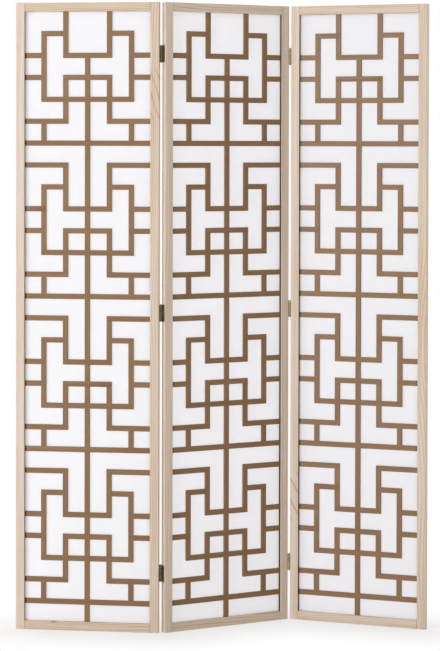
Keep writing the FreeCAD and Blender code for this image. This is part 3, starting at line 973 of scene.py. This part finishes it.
class SCREEN_OT_lattice(bpy.types.Operator):
    """Builds the lattice strips with eased edges and gives them the brown stain"""

    bl_idname = "screen.lattice"
    bl_label = "Lattice strips"

    def execute(self, context):
        look = context.scene.screen_lattice
        stained = lattice_material(look)
        for panel in PANELS:
            # The middle panel's darker strips are painted shade.
            tone = STRIP_TONES_AND_SHADE[panel]
            for kind in LEVEL_STRIPS + UPRIGHT_STRIPS:
                name = "%s_panel_%s" % (panel, kind)
                strips = eased_copy(name, look.eased_edge)
                lay_grain(strips.data, name, kind in UPRIGHT_STRIPS, tone, STRIP_TONE_SPREAD)
                # Each panel's strips get a painted shadow at their left ends by the stile.
                dark_end = np.full(len(strips.data.vertices), PAINTED_END_SHADOWS[panel])
                store(strips.data, PAINTED_END_SHADOW, "FLOAT", dark_end)
                dress(strips, stained)
        return {"FINISHED"}


class SCREEN_OT_paper(bpy.types.Operator):
    """Gives the sheets their translucent fibre paper"""

    bl_idname = "screen.paper"
    bl_label = "Paper sheets"

    def execute(self, context):
        paper = paper_material(context.scene.screen_paper)
        for number, panel in enumerate(PANELS):
            node = frame["nodes"][panel + "_panel_paper"]
            local = in_panel_axes(corner_points(node.data), panel)
            store(node.data, GRAIN_PLACE, "FLOAT_VECTOR", local + number)
            store(node.data, PANEL_PLACE, "FLOAT_VECTOR", local)
            dress(node, paper)
        return {"FINISHED"}


class SCREEN_OT_hinges(bpy.types.Operator):
    """Gives the hinge leaves, the pins and the screws aged metal with rubbed edges"""

    bl_idname = "screen.hinges"
    bl_label = "Hinges"

    def execute(self, context):
        look = context.scene.screen_metal
        bronze = metal_material("Antique bronze", look.bronze, look.worn_bronze, look.wear_width)
        screw = metal_material("Screw brass", look.screw, look.worn_screw, look.wear_width)
        for name, node in frame["nodes"].items():
            if "_joint_" not in name:
                continue
            local = in_panel_axes(corner_points(node.data), panel_of(name))
            store(node.data, GRAIN_PLACE, "FLOAT_VECTOR", local)
            dress(node, screw if name.endswith("_screws") else bronze)
        return {"FINISHED"}


# ---- floor, lamps and camera ------------------------------------------------------------

# Where each lamp stands, its width and its tint. Its power is one of the studio's sizes.
LAMPS = {
    "key": ((-5.3, -5.3, 2.7), 1.3, (0.985, 0.99, 1.0)),
    "left rear": ((-3.8, 3.4, 1.4), 2.6, (1.0, 1.0, 1.0)),
    "right rear": ((3.5, 3.5, 1.4), 2.6, (1.0, 1.0, 1.0)),
    "side": ((4.6, -1.6, 1.5), 1.6, (1.0, 0.90, 0.78)),
}
LAMP_TARGET = (0.0, 0.0, 0.9)

# The bright wall behind: which way it lies, how the light rises towards it, and the two tints.
REARWARD = (0.22, 0.97, 0.08)
REAR_RISE = (-0.05, 0.5)
FRONT_TINT = (1.0, 0.925, 0.83, 1.0)
REAR_TINT = (1.0, 0.995, 1.0, 1.0)

# Half the floor's width and the camera's reach, in metres.
FLOOR_HALF = 30.0
CAMERA_REACH = 100.0

# How rough the floor is, and how much darker and rougher its speckles are.
FLOOR_ROUGHNESS = 0.75
SPECKLE_ROUGHNESS = 0.1
SPECKLE_TONE = 0.985

# The share of plain white in the floor beside the screen, where its shadows show most.
LEAST_WHITE = 0.55


def add_lamp(name, place, width, tint, energy):
    lamp = bpy.data.lights.new(name, "AREA")
    lamp.shape = "DISK"
    lamp.size = width
    lamp.energy = energy
    lamp.color = tint
    holder = bpy.data.objects.new(name, lamp)
    holder.location = place
    aim = Vector(LAMP_TARGET) - Vector(place)
    holder.rotation_euler = aim.to_track_quat("-Z", "Y").to_euler()
    bpy.context.scene.collection.objects.link(holder)


def seen_as_background(tree):
    """1 for rays from the eye, off gloss or clear through a piece, and 0 for scattered light."""
    path = tree.nodes.new("ShaderNodeLightPath").outputs
    seen = maths(tree, "ADD", path["Is Camera Ray"], path["Is Glossy Ray"])
    clear = maths(tree, "SUBTRACT", path["Is Transmission Ray"], path["Is Diffuse Ray"], clamp=True)
    return maths(tree, "ADD", seen, clear, clamp=True)


def light_the_room(scene, room, behind):
    """Even light all round, brighter from behind, and plain white where it is seen itself."""
    world = bpy.data.worlds.new("White room")
    scene.world = world
    world.use_nodes = True
    tree = world.node_tree
    tree.nodes.clear()
    direction = tree.nodes.new("ShaderNodeTexCoord").outputs["Generated"]
    rearward = vector_maths(tree, "DOT_PRODUCT", direction, REARWARD)
    rear_share = rising(tree, rearward, *REAR_RISE)
    tint = blended(tree, rear_share, FRONT_TINT, REAR_TINT)
    brightness = maths(tree, "MULTIPLY_ADD", rear_share, behind - room, room)
    glow = add_node(tree, "ShaderNodeBackground", Color=tint, Strength=brightness)
    white = add_node(tree, "ShaderNodeBackground", Color=WHITE, Strength=1.0)
    mixed = add_node(tree, "ShaderNodeMixShader", Fac=seen_as_background(tree))
    tree.links.new(glow.outputs["Background"], mixed.inputs[1])
    tree.links.new(white.outputs["Background"], mixed.inputs[2])
    output = tree.nodes.new("ShaderNodeOutputWorld")
    tree.links.new(mixed.outputs["Shader"], output.inputs["Surface"])


def distance_to_panels(tree, place):
    """How far a spot on the floor is from the nearest panel's foot."""
    nearest = None
    for panel in PANELS:
        turn = math.radians(PANEL_TURNS[panel])
        along = (math.cos(turn), math.sin(turn), 0.0)
        square = (-math.sin(turn), math.cos(turn), 0.0)
        offset = vector_maths(tree, "SUBTRACT", place, (*panel_centre(panel), 0.0))
        beside = maths(tree, "ABSOLUTE", vector_maths(tree, "DOT_PRODUCT", offset, along))
        past_end = maths(tree, "MAXIMUM", maths(tree, "SUBTRACT", beside, PANEL_HALF), 0.0)
        in_front = vector_maths(tree, "DOT_PRODUCT", offset, square)
        squares = maths(tree, "MULTIPLY", past_end, past_end)
        squares = maths(tree, "MULTIPLY_ADD", in_front, in_front, squares)
        distance = maths(tree, "SQRT", squares)
        nearest = distance if nearest is None else maths(tree, "MINIMUM", nearest, distance)
    return nearest


def lay_floor(scene, floor_colour, fade):
    """A pale floor that shows its shadows near the screen and fades to white away from it."""
    mesh = bpy.data.meshes.new("floor")
    signs = ((-1, -1), (1, -1), (1, 1), (-1, 1))
    corners = [(x * FLOOR_HALF, y * FLOOR_HALF, 0.0) for x, y in signs]
    mesh.from_pydata(corners, [], [(0, 1, 2, 3)])
    floor = bpy.data.objects.new("floor", mesh)
    scene.collection.objects.link(floor)
    material, tree, shader, output = new_material("Pale floor")
    place = tree.nodes.new("ShaderNodeTexCoord").outputs["Object"]
    speckle = noise(tree, place, scale=180.0, detail=3.0, roughness=0.6)
    tint = blended(tree, speckle, opaque(floor_colour), toned(floor_colour, SPECKLE_TONE))
    plug(tree, shader.inputs["Base Color"], tint)
    rough = maths(tree, "MULTIPLY_ADD", speckle, SPECKLE_ROUGHNESS, FLOOR_ROUGHNESS)
    plug(tree, shader.inputs["Roughness"], rough)
    shader.inputs["Specular IOR Level"].default_value = 0.1
    away = rising(tree, distance_to_panels(tree, place), 0.0, fade)
    away = maths(tree, "MULTIPLY_ADD", away, 1.0 - LEAST_WHITE, LEAST_WHITE)
    white = add_node(tree, "ShaderNodeEmission", Color=WHITE, Strength=1.0)
    factor = maths(tree, "MULTIPLY", away, seen_as_background(tree))
    mixed = add_node(tree, "ShaderNodeMixShader", Fac=factor)
    tree.links.new(shader.outputs["BSDF"], mixed.inputs[1])
    tree.links.new(white.outputs["Emission"], mixed.inputs[2])
    tree.links.new(mixed.outputs["Shader"], output.inputs["Surface"])
    dress(floor, material)


def place_camera(scene, look):
    camera = bpy.data.cameras.new("camera")
    camera.lens = look.lens
    camera.shift_y = look.shift
    camera.clip_end = CAMERA_REACH
    holder = bpy.data.objects.new("camera", camera)
    tilt, swing, roll = look.camera_turn
    turn = (
        Matrix.Rotation(-swing, 3, "Z")
        @ Matrix.Rotation(math.pi / 2 - tilt, 3, "X")
        @ Matrix.Rotation(roll, 3, "Z")
    )
    holder.rotation_euler = turn.to_euler()
    holder.location = look.camera_place
    scene.collection.objects.link(holder)
    scene.camera = holder


class SCREEN_OT_stage(bpy.types.Operator):
    """Sets up the pale floor, the soft lamps and the camera"""

    bl_idname = "screen.stage"
    bl_label = "Floor, lamps and camera"

    def execute(self, context):
        scene = context.scene
        look = scene.screen_studio
        light_the_room(scene, look.room_light, look.back_light)
        lay_floor(scene, look.floor, look.shadow_fade)
        for name, (place, width, tint) in LAMPS.items():
            energy = getattr(look, name.replace(" ", "_") + "_power")
            add_lamp(name, place, width, tint, energy)
        place_camera(scene, look)
        scene.view_settings.view_transform = "Standard"
        return {"FINISHED"}


# ---- the add-on -------------------------------------------------------------------------

OPERATORS = (
    SCREEN_OT_frames,
    SCREEN_OT_lattice,
    SCREEN_OT_paper,
    SCREEN_OT_hinges,
    SCREEN_OT_stage,
)


class SCREEN_PT_sidebar(bpy.types.Panel):
    """Lists the screen's sizes, colours and building steps"""

    bl_idname = "SCREEN_PT_sidebar"
    bl_label = "Folding screen"
    bl_space_type = "VIEW_3D"
    bl_region_type = "UI"
    bl_category = "Screen"

    def draw(self, context):
        for name in LOOKS:
            look = getattr(context.scene, name)
            column = self.layout.column(align=True)
            for field in look.bl_rna.properties:
                if field.identifier not in ("rna_type", "name"):
                    column.prop(look, field.identifier)
        for operator in OPERATORS:
            self.layout.operator(operator.bl_idname)


CLASSES = (*LOOKS.values(), *OPERATORS, SCREEN_PT_sidebar)


def register():
    for part in CLASSES:
        bpy.utils.register_class(part)
    for name, look in LOOKS.items():
        setattr(bpy.types.Scene, name, bpy.props.PointerProperty(type=look))


def unregister():
    for name in LOOKS:
        delattr(bpy.types.Scene, name)
    for part in reversed(CLASSES):
        bpy.utils.unregister_class(part)


def main():
    register()
    bpy.ops.screen.frames()
    bpy.ops.screen.lattice()
    bpy.ops.screen.paper()
    bpy.ops.screen.hinges()
    bpy.ops.screen.stage()


if __name__ == "__main__":
    main()
